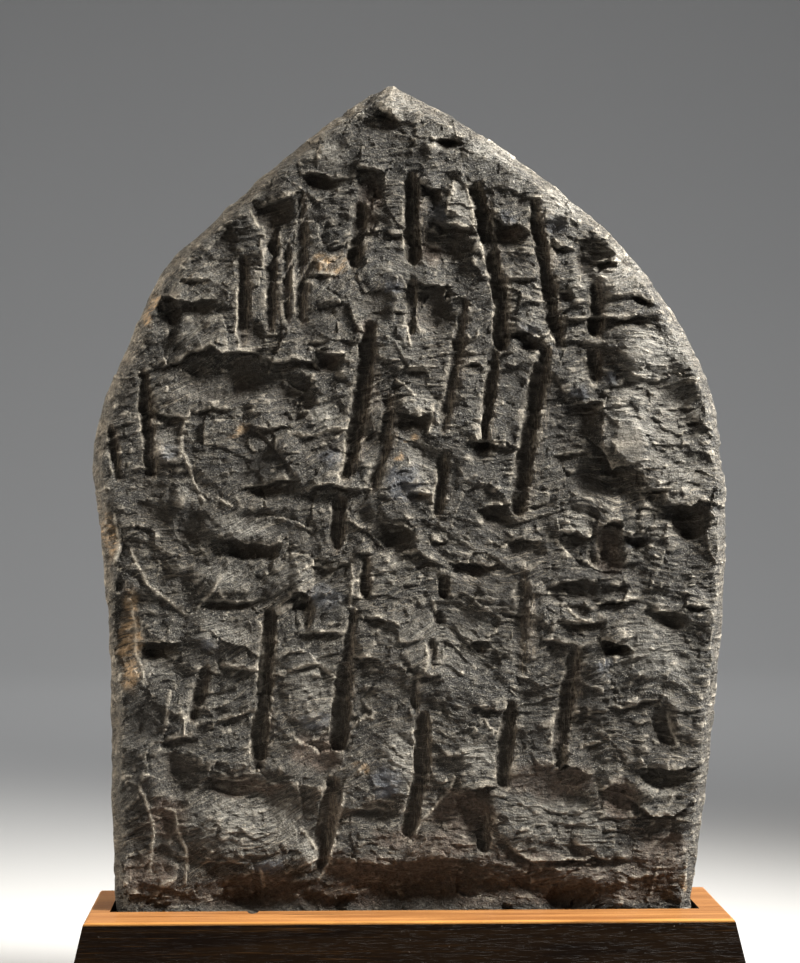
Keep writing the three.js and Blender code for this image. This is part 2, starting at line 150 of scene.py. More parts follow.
# Ledges: how many units the face steps back under each, how far down it stays deep, then its line
LEDGE_UNIT = 0.00115
LEDGES = [
    (3, 10, (298, 172), (320, 173), (335, 178), (352, 178)),
    (3, 20, (256, 205), (275, 201), (290, 193), (302, 190)),
    (3, 18, (178, 280), (195, 279), (214, 279)),
    (3, 12, (376, 106), (390, 111), (398, 116), (404, 124)),
    (4, 26, (356, 166), (375, 168), (388, 166)),
    (3, 9, (428, 138), (450, 136), (467, 140)),
    (4, 16, (422, 180), (432, 186), (445, 187)),
    (5, 20, (434, 221), (450, 223), (460, 225), (482, 231)),
    (3, 8, (386, 231), (405, 234)),
    (3, 8, (328, 247), (345, 243), (358, 236)),
    (2, 6, (308, 275), (325, 273), (337, 276)),
    (5, 30, (414, 280), (440, 284), (454, 285)),
    (5, 18, (492, 211), (505, 222), (518, 222), (532, 228)),
    (3, 8, (553, 246), (568, 245), (577, 248)),
    (2, 8, (507, 278), (525, 277), (542, 276)),
    (4, 12, (597, 262), (612, 258), (621, 262)),
    (2, 8, (557, 290), (578, 292)),
    (4, 18, (163, 296), (190, 298), (217, 300)),
    (5, 22, (158, 366), (180, 361), (190, 351), (200, 350), (212, 345), (222, 350), (240, 352), (264, 351)),
    (4, 25, (262, 356), (275, 360), (300, 360), (313, 360), (322, 371)),
    (3, 12, (153, 407), (170, 416), (192, 417)),
    (2, 12, (188, 408), (200, 410), (222, 408), (234, 407)),
    (2, 8, (153, 461), (175, 460), (185, 461)),
    (3, 20, (248, 424), (272, 426), (288, 424)),
    (3, 12, (238, 490), (262, 483), (283, 478), (302, 478)),
    (4, 18, (316, 352), (345, 352)),
    (2, 20, (288, 430), (300, 431), (315, 434), (330, 430), (345, 428), (357, 432)),
    (4, 14, (305, 490), (330, 484), (350, 488), (377, 488)),
    (2, 6, (408, 370), (422, 369), (430, 372)),
    (5, 22, (397, 409), (412, 411), (425, 415), (438, 410)),
    (3, 10, (403, 493), (420, 490), (434, 495)),
    (3, 14, (467, 440), (485, 440), (500, 443), (516, 450)),
    (2, 8, (298, 344), (332, 340)),
    (2, 6, (461, 365), (475, 362), (486, 366)),
    (3, 18, (511, 331), (530, 332), (548, 334)),
    (3, 14, (563, 316), (590, 318), (612, 316), (640, 314), (655, 316)),
    (4, 12, (575, 404), (590, 400), (607, 399)),
    (5, 32, (592, 436), (603, 448), (615, 466), (632, 461), (645, 470), (652, 487)),
    (2, 10, (552, 455), (575, 452), (594, 450)),
    (4, 10, (642, 489), (658, 490), (671, 488)),
    (2, 8, (670, 408), (685, 406), (703, 404)),
    (3, 8, (632, 290), (650, 296), (658, 300)),
    (3, 8, (688, 421), (704, 418)),
    (5, 20, (220, 537), (235, 539), (258, 541), (275, 545), (286, 541)),
    (4, 20, (198, 600), (215, 598), (235, 600), (266, 598)),
    (6, 14, (138, 641), (150, 641), (163, 640), (172, 638), (183, 641)),
    (3, 24, (223, 663), (240, 666), (260, 668)),
    (5, 30, (292, 592), (302, 590), (313, 596)),
    (5, 24, (380, 520), (398, 524), (410, 528), (417, 531)),
    (3, 8, (357, 552), (375, 552)),
    (3, 10, (404, 552), (420, 549), (428, 556), (440, 558)),
    (3, 10, (429, 541), (440, 541), (450, 543)),
    (4, 18, (476, 508), (492, 505), (516, 504)),
    (4, 14, (450, 562), (470, 560), (490, 564), (504, 560)),
    (2, 8, (298, 568), (330, 566), (354, 563)),
    (3, 14, (296, 634), (320, 631), (335, 630), (347, 634)),
    (2, 12, (288, 669), (305, 665), (316, 662), (325, 668), (338, 671)),
    (3, 10, (352, 657), (365, 655), (378, 658)),
    (3, 14, (361, 615), (380, 617), (395, 622), (404, 625)),
    (2, 10, (398, 640), (410, 642), (428, 640)),
    (3, 8, (467, 642), (480, 641), (491, 644)),
    (3, 9, (417, 676), (430, 674), (443, 675)),
    (5, 22, (564, 530), (580, 532), (592, 535), (600, 532)),
    (6, 34, (598, 528), (607, 523), (615, 520), (625, 523)),
    (4, 15, (622, 535), (635, 535), (653, 534)),
    (6, 34, (666, 504), (680, 503), (700, 501), (715, 500)),
    (4, 14, (546, 585), (565, 582), (580, 580), (604, 582)),
    (4, 10, (597, 604), (615, 600), (643, 600)),
    (4, 12, (556, 620), (575, 621), (585, 621), (608, 620)),
    (6, 14, (603, 640), (618, 637), (628, 642), (636, 650)),
    (4, 20, (652, 612), (668, 610), (680, 612), (692, 620)),
    (3, 12, (541, 640), (560, 642), (580, 645)),
    (3, 14, (504, 540), (520, 537), (543, 538)),
    (2, 10, (502, 610), (533, 612)),
    (4, 8, (688, 606), (700, 604), (715, 606)),
    (3, 14, (220, 718), (235, 715), (250, 709), (259, 708)),
    (3, 20, (159, 742), (172, 738), (185, 735), (200, 738)),
    (4, 14, (207, 776), (225, 779), (240, 779), (258, 776)),
    (2, 10, (212, 786), (230, 789), (250, 788), (268, 786)),
    (3, 22, (196, 862), (215, 860), (235, 860), (254, 862)),
    (3, 8, (362, 803), (380, 801), (398, 803)),
    (2, 10, (342, 815), (355, 808), (372, 808), (398, 810)),
    (3, 20, (352, 862), (375, 860), (390, 868), (403, 866)),
    (6, 40, (458, 797), (470, 790), (480, 787), (498, 786)),
    (2, 10, (452, 843), (478, 845)),
    (2, 12, (582, 746), (600, 742), (610, 740)),
    (3, 16, (608, 708), (625, 708), (645, 702), (664, 700)),
    (5, 22, (637, 769), (655, 766), (675, 768), (700, 770)),
    (6, 16, (630, 794), (640, 806), (652, 814), (665, 817), (680, 815), (692, 806)),
    (4, 34, (600, 790), (615, 785), (630, 784), (637, 790)),
    (4, 25, (555, 771), (570, 764), (580, 768), (591, 778)),
    (4, 28, (497, 838), (515, 850), (530, 860), (550, 862), (600, 860), (625, 857), (638, 862)),
    (3, 10, (476, 706), (490, 708), (503, 712)),
]

# Thin raised crests: half their width in sheet steps, their height, then points along each
CREST_HALF_WIDTH = 2.2
CREST_HEIGHT = 0.0010
CRESTS = [
    ((252, 210), (256, 218), (259, 225)),
    ((262, 238), (263, 252), (265, 266)),
    ((294, 270), (293, 285), (295, 298)),
    ((238, 290), (238, 325), (240, 347), (249, 351)),
    ((191, 409), (184, 430), (181, 455)),
    ((183, 450), (192, 468), (200, 490), (206, 499)),
    ((220, 497), (233, 505)),
    ((290, 431), (315, 434), (345, 427), (355, 424)),
    ((346, 440), (345, 460), (340, 480)),
    ((455, 177), (450, 200), (449, 212)),
    ((468, 184), (473, 205), (475, 228)),
    ((498, 296), (498, 312), (495, 328)),
    ((408, 325), (412, 345)),
    ((435, 402), (433, 420), (430, 430)),
    ((438, 470), (437, 482), (433, 498)),
    ((117, 512), (119, 545), (115, 562)),
    ((130, 598), (136, 620), (138, 650), (145, 665), (146, 680)),
    ((132, 548), (140, 565), (149, 583), (165, 596), (186, 612)),
    ((200, 607), (212, 590), (222, 575)),
    ((225, 663), (240, 666), (259, 668)),
    ((264, 635), (265, 655), (262, 668), (260, 690)),
    ((290, 669), (305, 665), (316, 662), (325, 668), (337, 675)),
    ((353, 555), (356, 575), (354, 592), (350, 606)),
    ((434, 600), (437, 610)),
    ((428, 645), (426, 670)),
    ((558, 603), (568, 604), (574, 614), (584, 620), (592, 617)),
    ((600, 528), (607, 523), (616, 520), (622, 522)),
    ((583, 747), (592, 745), (601, 741)),
    ((172, 690), (169, 705), (168, 720)),
    ((183, 708), (187, 722), (185, 733), (192, 732)),
    ((222, 718), (235, 714), (250, 709), (257, 708)),
    ((141, 785), (148, 800), (155, 820), (155, 840), (152, 868)),
    ((167, 806), (175, 809), (179, 820), (181, 833), (187, 845), (189, 860), (186, 880)),
    ((355, 725), (362, 717), (369, 714), (376, 718)),
    ((487, 720), (492, 727), (500, 732)),
    ((346, 790), (341, 810), (336, 840), (328, 864), (320, 878)),
    ((456, 776), (450, 792), (436, 806), (422, 820), (416, 832)),
    ((262, 870), (265, 886)),
    ((398, 378), (408, 384), (414, 392)),
    ((672, 712), (674, 730), (681, 745)),
    ((302, 828), (312, 838), (318, 848)),
]

# Broad masses: ovals on the sheet, as middle and half sizes, and how strongly each leans to the light, and so
# its painted light or shade
LEANS = [
    (400, 102, 30, 18, 13), (328, 152, 26, 22, 9), (342, 180, 14, 26, 7), (498, 150, 36, 22, 17),
    (463, 200, 16, 30, 13), (562, 203, 40, 24, 17), (522, 180, 24, 20, 6), (622, 266, 34, 32, 17),
    (583, 275, 15, 34, 9), (405, 268, 24, 22, 6), (348, 262, 20, 18, 4), (438, 140, 18, 26, 6),
    (535, 322, 18, 22, 9), (580, 378, 18, 20, 9), (660, 350, 46, 38, 15), (655, 415, 62, 66, 14),
    (680, 475, 40, 34, 10), (215, 272, 24, 22, 7), (190, 332, 36, 16, 5), (420, 398, 26, 16, 10),
    (420, 458, 26, 30, 9), (405, 345, 24, 30, 6), (328, 415, 24, 26, 9), (165, 445, 26, 24, 8),
    (192, 490, 22, 26, 9), (245, 525, 46, 18, 11), (575, 520, 26, 22, 12), (180, 392, 34, 22, 4),
    (225, 575, 44, 18, 7), (300, 575, 42, 24, 7), (228, 632, 40, 18, 12), (315, 690, 32, 50, 9),
    (395, 570, 40, 24, 5), (440, 640, 84, 60, 5), (480, 475, 40, 24, 4), (662, 645, 56, 56, 8),
    (405, 752, 28, 46, 11), (478, 756, 34, 24, 11), (258, 820, 92, 42, 12), (314, 855, 20, 30, 8),
    (545, 815, 60, 34, 7), (592, 825, 22, 34, 8), (662, 785, 34, 18, 10), (160, 665, 34, 24, 7),
    (610, 545, 22, 18, 4), (660, 520, 24, 24, 7), (475, 400, 12, 50, 4), (210, 700, 40, 26, 4),
    (280, 205, 34, 30, -9), (240, 225, 24, 30, -7), (175, 305, 20, 24, -8), (432, 228, 24, 34, -9),
    (368, 200, 16, 36, -6), (437, 306, 30, 26, -9), (496, 225, 22, 20, -8), (550, 285, 16, 50, -5),
    (270, 375, 52, 28, -8), (272, 465, 44, 42, -10), (375, 420, 30, 26, -8), (545, 400, 56, 80, -6),
    (600, 478, 46, 22, -10), (180, 520, 26, 34, -10), (125, 395, 24, 34, -5), (150, 722, 44, 26, -7),
    (145, 810, 38, 90, -9), (300, 902, 110, 18, -10), (450, 902, 120, 18, -11), (590, 902, 60, 15, -9),
    (130, 560, 24, 60, -5), (698, 524, 24, 26, -10), (520, 580, 28, 50, -7), (596, 588, 54, 30, -8),
    (585, 700, 36, 70, -7), (676, 730, 34, 34, -11), (655, 772, 40, 14, -6), (535, 735, 34, 36, -5),
    (485, 806, 28, 28, -8), (500, 880, 150, 30, -8), (290, 890, 90, 22, -8), (235, 392, 30, 16, -6),
    (320, 330, 30, 24, -5), (240, 770, 80, 16, -6), (610, 330, 30, 14, -6), (400, 520, 26, 22, -6),
    (330, 610, 24, 18, -6), (200, 735, 30, 18, -5), (460, 700, 60, 14, -3), (520, 455, 30, 50, -5),
]

# Where the light comes from on the sheet, as shares to the right and up, the degrees of a lean of 1, and
# the lean at which the painted light or painted shade on the stone is strongest
LEAN_LIGHT = (0.75, 0.66)
LEAN_DEGREES = 1.5
LEAN_FULL = 9

# Where the face is cut back above its foot, as heights on the sheet, and how deep
FOOT_CUT = (876, 900, 0.0035)

# Flake scars on the hewn face: the seed of their draw, how many, their half widths and their depths
FLAKES = [
    (21, 150, (0.018, 0.045), (0.0010, 0.0026)),
    (22, 600, (0.005, 0.013), (0.0003, 0.0008)),
]

# Tilted facets: their height, their size and their seed, on the hewn face and then all over the stone
FACE_FACETS = [
    (0.0018, (0.040, 0.030), 16),
    (0.0010, (0.014, 0.010), 17),
    (0.0004, (0.0062, 0.0045), 18),
]
STONE_FACETS = (0.0011, (0.030, 0.024), 28)

# The rim round the hewn face: how far it is worn back, and how rough the wear is
RIM_WEAR = 0.0006
RIM_ROUGHNESS = 0.0013

# Noise on a lattice, the same in every run
SHUFFLE_SEED = 11
LATTICE = 256
_draw = np.random.default_rng(SHUFFLE_SEED)
_order = _draw.permutation(LATTICE)
SHUFFLE = np.concatenate([_order, _order])
SLOPES = _draw.normal(size=(LATTICE, 3))
SLOPES /= np.linalg.norm(SLOPES, axis=1, keepdims=True)
FACET_DRAWS = _draw.uniform(-1, 1, size=(LATTICE, 5))


def gradient_noise(points):
    """Smooth noise from about -1 to 1, with features about one unit across, in any number of dimensions."""
    cell = np.floor(points).astype(np.int64)
    inside = points - cell
    ease = inside ** 3 * (inside * (inside * 6 - 15) + 10)
    total = np.zeros(len(points))
    for corner in itertools.product((0, 1), repeat=points.shape[1]):
        pick = np.zeros(len(points), np.int64)
        share = np.ones(len(points))
        slope = np.zeros(len(points))
        for axis, side in enumerate(corner):
            pick = SHUFFLE[pick + ((cell[:, axis] + side) & (LATTICE - 1))]
            share *= ease[:, axis] if side else 1 - ease[:, axis]
        for axis, side in enumerate(corner):
            slope += SLOPES[pick, axis] * (inside[:, axis] - side)
        total += share * slope
    return total * 1.6


def rough(points, size, octaves=3, stretch=1, seed=0):
    """Fractal noise whose largest features are size across, drawn out along the axes by stretch."""
    scaled = points / (size * np.array(stretch)) + seed * 17.31
    total = np.zeros(len(points))
    weight = 1.0
    for _ in range(octaves):
        total += weight * gradient_noise(scaled)
        scaled = scaled * 2.03 + 5.1
        weight *= 0.5
    return total


def ramp(values, low, high):
    """0 below low, 1 above high, and smooth between them."""
    share = np.clip((values - low) / (high - low), 0, 1)
    return share * share * (3 - 2 * share)


def spot(sheet, x, y, half_width, half_height):
    """1 in the middle of an oval on the sheet, fading to 0 at its rim."""
    away = ((sheet[:, 0] - x) / half_width) ** 2 + ((sheet[:, 1] - y) / half_height) ** 2
    return ramp(-away, -1.0, -0.25)


def rough_pair(points, size, octaves, first_seed, second_seed):
    """Two fields of fractal noise, to move flat points about by."""
    return np.stack([rough(points, size, octaves, seed=seed) for seed in (first_seed, second_seed)], axis=1)


def to_sheet(flat):
    """Where points on the face, given by X and Z, lie on the drawing sheet."""
    across = flat[:, 0] / SHEET_STEP + SHEET_MIDDLE
    down = SHEET_FOOT - flat[:, 1] / SHEET_STEP
    return np.stack([across, down], axis=1)


def wandering_sheet(flat):
    """The same, but moved about a little, so that what is drawn straight wanders on the stone."""
    return to_sheet(flat) + 1.1 * rough_pair(flat, 0.009, 2, 4, 6) + 1.6 * rough_pair(flat, 0.034, 2, 1, 3)


def near_path(sheet, path, reach):
    """Which spots are within reach of a path, how far each lies to its right, and how far along it."""
    path = np.array(path, float)
    low, high = path.min(axis=0) - reach, path.max(axis=0) + reach
    near = np.flatnonzero(((sheet > low) & (sheet < high)).all(axis=1))
    away = np.full(len(near), np.inf)
    side = np.ones(len(near))
    along = np.zeros(len(near))
    passed = 0.0
    for start, end in zip(path, path[1:]):
        step = end - start
        length = math.hypot(*step)
        share = np.clip((sheet[near] - start) @ step / length ** 2, 0, 1)
        apart = sheet[near] - start - share[:, None] * step
        gap = np.linalg.norm(apart, axis=1)
        closer = gap < away
        away[closer] = gap[closer]
        side[closer] = np.sign(step[1] * apart[closer, 0] - step[0] * apart[closer, 1])
        along[closer] = passed + share[closer] * length
        passed += length
    return near, away * side, along


def stroke_cuts(sheet):
    """How deep the chisel strokes cut at each spot, where their left lips are, which get a painted highlight,
    and where their right sides are, which get a painted warm fill light.

    A stroke is deepest close to its steep left wall, and its right side rises slowly.
    """
    cut = np.zeros(len(sheet))
    lips = np.zeros(len(sheet))
    painted_fill_sides = np.zeros(len(sheet))
    ragged = 1 + 0.42 * rough(sheet, 9, 3, seed=43)
    for number, (width, depth, *path) in enumerate(STROKES):
        reach = STROKE_HALF_WIDTH * width * 2.2
        near, across, along = near_path(sheet, path, reach)
        place = np.stack([along, np.full(len(along), 40.0 * number)], axis=1)
        taper = (0.5 + 0.5 * ramp(along, 0, 30)) * (0.6 + 0.4 * ramp(along.max() - along, 0, 16))
        uneven = 1 + 0.2 * rough(place, 16, 2, seed=41)
        half = STROKE_HALF_WIDTH * width * taper * ragged[near] * uneven
        bites = (0.85 + 0.5 * rough(place, 19, 2, seed=42)) * (0.45 + 0.55 * ramp(along, 0, 26))
        bites += 0.22 * rough(place, 6, 2, seed=48)
        share = (across + 2.2 * rough(place, 24, 2, seed=49)) / half
        steep = 1 - np.clip((STROKE_DEEPEST - share) / (1 + STROKE_DEEPEST), 0, 1) ** 2.2
        gentle = (1 - np.clip((share - STROKE_DEEPEST) / (STROKE_RIGHT - STROKE_DEEPEST), 0, 1)) ** 1.3
        groove = STROKE_DEPTH * depth * bites * np.where(share < STROKE_DEEPEST, steep, gentle)
        cut[near] = np.maximum(cut[near], groove)
        lips[near] = np.maximum(lips[near], np.exp(-((share + 1.0) / 0.2) ** 2) * ramp(bites, 0.5, 1.1))
        # The strokes' right sides, which the material colours with a painted warm fill light
        right_side = ramp(share, -0.2, 0.5) * ramp(-share, -2.1, -1.3)
        painted_fill_sides[near] = np.maximum(painted_fill_sides[near], right_side)
    return cut, lips, painted_fill_sides


def lean_forms(sheet):
    """How far the broad masses stand out at each spot, and how much they face the light, from -1 to 1, for
    painted light and shade.
    """
    height = np.zeros(len(sheet))
    painted_light_shade = np.zeros(len(sheet))
    for x, y, half_width, half_height, lean in LEANS:
        aside, down = sheet[:, 0] - x, sheet[:, 1] - y
        window = np.clip(1 - (aside / half_width) ** 2 - (down / half_height) ** 2, 0, 1) ** 1.5
        toward = LEAN_LIGHT[0] * aside - LEAN_LIGHT[1] * down
        height -= math.tan(math.radians(LEAN_DEGREES * lean)) * SHEET_STEP * toward * window
        painted_light_shade += lean / LEAN_FULL * window
    return height, np.clip(painted_light_shade, -1, 1)


def ledge_cuts(sheet):
    """How deep the face steps back under each ledge, less how far its lip stands out, and its edge, which
    gets a painted highlight.
    """
    cut = np.zeros(len(sheet))
    lip = np.zeros(len(sheet))
    edge = np.zeros(len(sheet))
    x, y = (sheet + 2.6 * rough_pair(sheet, 17, 3, 44, 45)).T
    reach = 1 + 0.5 * rough(sheet, 30, 2, seed=46)
    for depth, fade, *path in LEDGES:
        across, down = np.array(path, float).T
        beside = (x > across[0]) & (x < across[-1])
        near = np.flatnonzero(beside & (y > down.min() - 3 * fade - 12) & (y < down.max() + 4 * fade))
        below = y[near] - np.interp(x[near], across, down)
        middle, half = (across[0] + across[-1]) / 2, (across[-1] - across[0]) / 2
        ends = np.clip(1 - ((x[near] - middle) / half) ** 2, 0, 1) ** 0.8
        step = depth * LEDGE_UNIT * ends
        faded = np.maximum(below, 0) / (fade * reach[near] * ends + 1)
        under = step * ramp(below, -0.7, 1.3) * np.exp(-faded ** 1.5)
        over = 0.8 * step * ramp(-below, -0.7, 1.0) * np.exp(np.minimum(below, 0) / (0.8 * fade + 4))
        cut[near] = np.maximum(cut[near], under)
        lip[near] = np.maximum(lip[near], over)
        edge[near] = np.maximum(edge[near], np.exp(-((below + 1.0) / 1.1) ** 2) * ends)
    return cut - lip, edge


def crest_lines(sheet):
    """1 on the thin crests, fading to 0 beside them."""
    crest = np.zeros(len(sheet))
    width = CREST_HALF_WIDTH * (1 + 0.5 * rough(sheet, 8, 2, seed=47))
    for path in CRESTS:
        near, across, _ = near_path(sheet, path, 4.0)
        crest[near] = np.maximum(crest[near], np.clip(1 - np.abs(across) / width[near], 0, 1))
    return crest


def facets(flat, size, seed):
    """Tilted flat facets about this size, each meeting the next in a crease or a small cliff."""
    scaled = flat / np.array(size)
    cell = np.floor(scaled).astype(np.int64)
    nearest = np.full(len(flat), np.inf)
    value = np.zeros(len(flat))
    for step in itertools.product((-1, 0, 1), repeat=2):
        corner = cell + step
        row = SHUFFLE[(corner[:, 0] + seed) & (LATTICE - 1)]
        draws = FACET_DRAWS[SHUFFLE[row + (corner[:, 1] & (LATTICE - 1))]]
        away = scaled - corner - 0.5 - 0.42 * draws[:, :2]
        distance = (away ** 2).sum(axis=1)
        plane = (draws[:, 2:4] * away).sum(axis=1) + 0.35 * draws[:, 4]
        closer = distance < nearest
        nearest[closer] = distance[closer]
        value[closer] = plane[closer]
    return value


def shelves(flat, pitch, seed):
    """Broken level shelves: each leans back as it rises, and the next one overhangs its top."""
    phase = flat[:, 1] / pitch + 1.9 * rough(flat, pitch * 4, 2, (1.5, 1), seed)
    phase += 0.45 * rough(flat, pitch * 1.1, 2, seed=seed + 1)
    rise = phase - np.floor(phase)
    return -np.minimum(rise / 0.9, (1 - rise) / 0.1)


def knapped(points, seed, count, widths, depths):
    """How deep a crowd of overlapping flake scars cuts into the face at each point.

    Each scar falls away slowly from its lower rim and ends in a steep step under its upper right rim.
    """
    draw = np.random.default_rng(seed)
    order = np.argsort(points[:, 0])
    sorted_x = points[order, 0]
    heights = points[:, 2]
    cut = np.zeros(len(points))
    for _ in range(count):
        centre_x = draw.uniform(stone_low.x, stone_high.x)
        centre_z = draw.uniform(stone_low.z, stone_high.z)
        share = draw.random() ** 2
        half_width = widths[0] + (widths[1] - widths[0]) * share
        half_height = half_width * draw.uniform(0.3, 0.85)
        depth = (depths[0] + (depths[1] - depths[0]) * share) * draw.uniform(0.6, 1.2)
        turn = draw.normal() * 0.45 - 0.15
        first, last = np.searchsorted(sorted_x, [centre_x - half_width, centre_x + half_width])
        near = order[first:last]
        near = near[np.abs(heights[near] - centre_z) < half_width]
        along = points[near, 0] - centre_x
        rise = heights[near] - centre_z
        u = (along * math.cos(turn) + rise * math.sin(turn)) / half_width
        v = (rise * math.cos(turn) - along * math.sin(turn)) / half_height
        radius = np.sqrt(u * u + v * v)
        slope = np.clip((v + 1) / 1.7, 0, 1) * np.sqrt(np.clip(1 - u * u, 0, 1))
        bowl = depth * slope * np.clip((1 - radius) / 0.16, 0, 1)
        cut[near] = np.maximum(cut[near], bowl)
    return cut


def mesh_arrays(mesh):
    """The vertices' places and normals as arrays."""
    count = len(mesh.vertices)
    places = np.empty(count * 3, np.float32)
    normals = np.empty(count * 3, np.float32)
    mesh.vertices.foreach_get("co", places)
    mesh.vertices.foreach_get("normal", normals)
    return places.reshape(-1, 3).astype(float), normals.reshape(-1, 3).astype(float)


def normals_of(places, mesh):
    """The vertex normals that the mesh would have with its vertices at these places."""
    before, _ = mesh_arrays(mesh)
    set_places(mesh, places)
    _, normals = mesh_arrays(mesh)
    set_places(mesh, before)
    return normals


def set_places(mesh, places):
    mesh.vertices.foreach_set("co", places.astype(np.float32).ravel())
    mesh.update()


def with_modifier(source, kind, **settings):
    """A new mesh: the object's mesh after one modifier."""
    modifier = source.modifiers.new("shape", kind)
    for key, value in settings.items():
        setattr(modifier, key, value)
    graph = bpy.context.evaluated_depsgraph_get()
    mesh = bpy.data.meshes.new_from_object(source.evaluated_get(graph))
    source.modifiers.clear()
    return mesh


def new_object(name, mesh):
    piece = bpy.data.objects.new(name, mesh)
    bpy.context.scene.collection.objects.link(piece)
    return piece


def edge_ends(mesh):
    ends = np.empty(len(mesh.edges) * 2, np.int32)
    mesh.edges.foreach_get("vertices", ends)
    return ends.reshape(-1, 2)


def smoothed(places, ends, rounds):
    """Places after so many rounds of moving half way to the middle of their neighbours."""
    count = len(places)
    first, second = ends.T
    degree = np.maximum(np.bincount(first, minlength=count) + np.bincount(second, minlength=count), 1)
    columns = [column.copy() for column in places.T]
    for _ in range(rounds):
        for index, values in enumerate(columns):
            total = np.bincount(first, values[second], count)
            total += np.bincount(second, values[first], count)
            columns[index] = 0.5 * values + 0.5 * total / degree
    return np.stack(columns, axis=1)


def hewn_stone():
    """The carved solid, meshed finely, with the breaks, strata and grain of the stone cut into it."""
    source = new_object("stele_source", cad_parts["stele"].data.copy())
    mesh = with_modifier(source, "REMESH", mode="VOXEL", voxel_size=VOXEL)
    piece = new_object("stele_stone", mesh)
    bpy.data.objects.remove(source)

    places, _ = mesh_arrays(mesh)
    ends = edge_ends(mesh)
    places = smoothed(places, ends, SOFTEN_ROUNDS)
    outward = normals_of(smoothed(places, ends, BROAD_ROUNDS), mesh)
    height = places[:, 2] - PLINTH_TOP
    grain = rough(places, 0.0075, 3, seed=12)
    swell = rough(places, 0.13, 2, seed=13)
    push = 0.0011 * swell + 0.0004 * grain + 0.0010 * rough(places, 0.022, 2, seed=14)
    facet_height, facet_size, facet_seed = STONE_FACETS
    push += facet_height * facets(places[:, ::2] + 0.3 * places[:, 1:2], facet_size, facet_seed)

    front = np.flatnonzero(outward[:, 1] < -0.02)
    facing = ramp(-outward[front, 1], 0.02, 0.35)
    push[front] += facing * (face_relief(places[front]) - push[front] + 0.0006 * grain[front])
    rim = ramp(-outward[:, 1], 0.05, 0.35) * ramp(outward[:, 1], -0.97, -0.75)
    push -= rim * (RIM_WEAR + RIM_ROUGHNESS * rough(places, 0.013, 3, seed=29))
    push *= np.where(push > 0, ramp(height, 0.0003, 0.0035), ramp(height, -0.006, -0.002))
    places += outward * push[:, None]
    places = np.clip(places, np.array(stone_low) - PROUDEST, np.array(stone_high) + PROUDEST)
    set_places(mesh, places)

    share = STONE_TRIANGLES / (2 * len(mesh.polygons))
    kept = with_modifier(piece, "DECIMATE", decimate_type="COLLAPSE", ratio=share)
    piece.data = kept
    bpy.data.meshes.remove(mesh)
    kept.name = "stele_stone"
    kept.set_sharp_from_angle(angle=SHARP_ANGLE)
    colour_masks(kept)
    return piece


def face_relief(places):
    """How far the hewn face stands out from, or lies behind, the carved solid at each place."""
    flat = places[:, ::2]
    sheet = wandering_sheet(flat)
    strokes, _, _ = stroke_cuts(sheet)
    ledges, _ = ledge_cuts(sheet)

    knaps = sum(knapped(places, *flakes) for flakes in FLAKES)
    bent = flat + 0.005 * rough_pair(flat, 0.034, 2, 1, 3)
    chips = sum(height * facets(bent, size, seed) for height, size, seed in FACE_FACETS)
    shelf_share = ramp(rough(flat, 0.07, 2, seed=18), -0.45, 0.35)
    bedded = np.stack([flat[:, 0], layer_height(places)], axis=1)
    steps = shelf_share * (0.0018 * shelves(bedded, 0.024, 19) + 0.0006 * shelves(bedded, 0.009, 23))
    layers = 1 - np.abs(rough(bedded, 0.0062, 2, (4, 1), seed=8)) * 1.6
    thin_layers = rough(bedded, 0.0030, 2, (5, 1), seed=9)
    layered = ramp(rough(flat, 0.09, 2, seed=10) + 1.4 * ramp(flat[:, 0], 0.06, 0.2), -0.25, 0.45)
    broken = chips + steps - knaps + (0.35 + 0.65 * layered) * (0.0007 * layers + 0.0006 * thin_layers)
    broken *= 1 - 0.15 * ramp(strokes, 0.0002, 0.0015)
    swell = 0.0016 * rough(flat, 0.08, 2, seed=13)
    masses, _ = lean_forms(sheet)
    masses -= FOOT_CUT[2] * ramp(sheet[:, 1], *FOOT_CUT[:2])
    return swell + masses + broken - strokes - ledges + CREST_HEIGHT * crest_lines(sheet)


def layer_height(places):
    """How high in the stone's beds each place lies: the beds sweep up and down, and slope on the left."""
    flat = places[:, ::2]
    swept = places[:, 2] + 0.015 * rough(flat, 0.085, 2, seed=27)
    return swept - 0.32 * places[:, 0] * ramp(-places[:, 0], -0.05, 0.12)


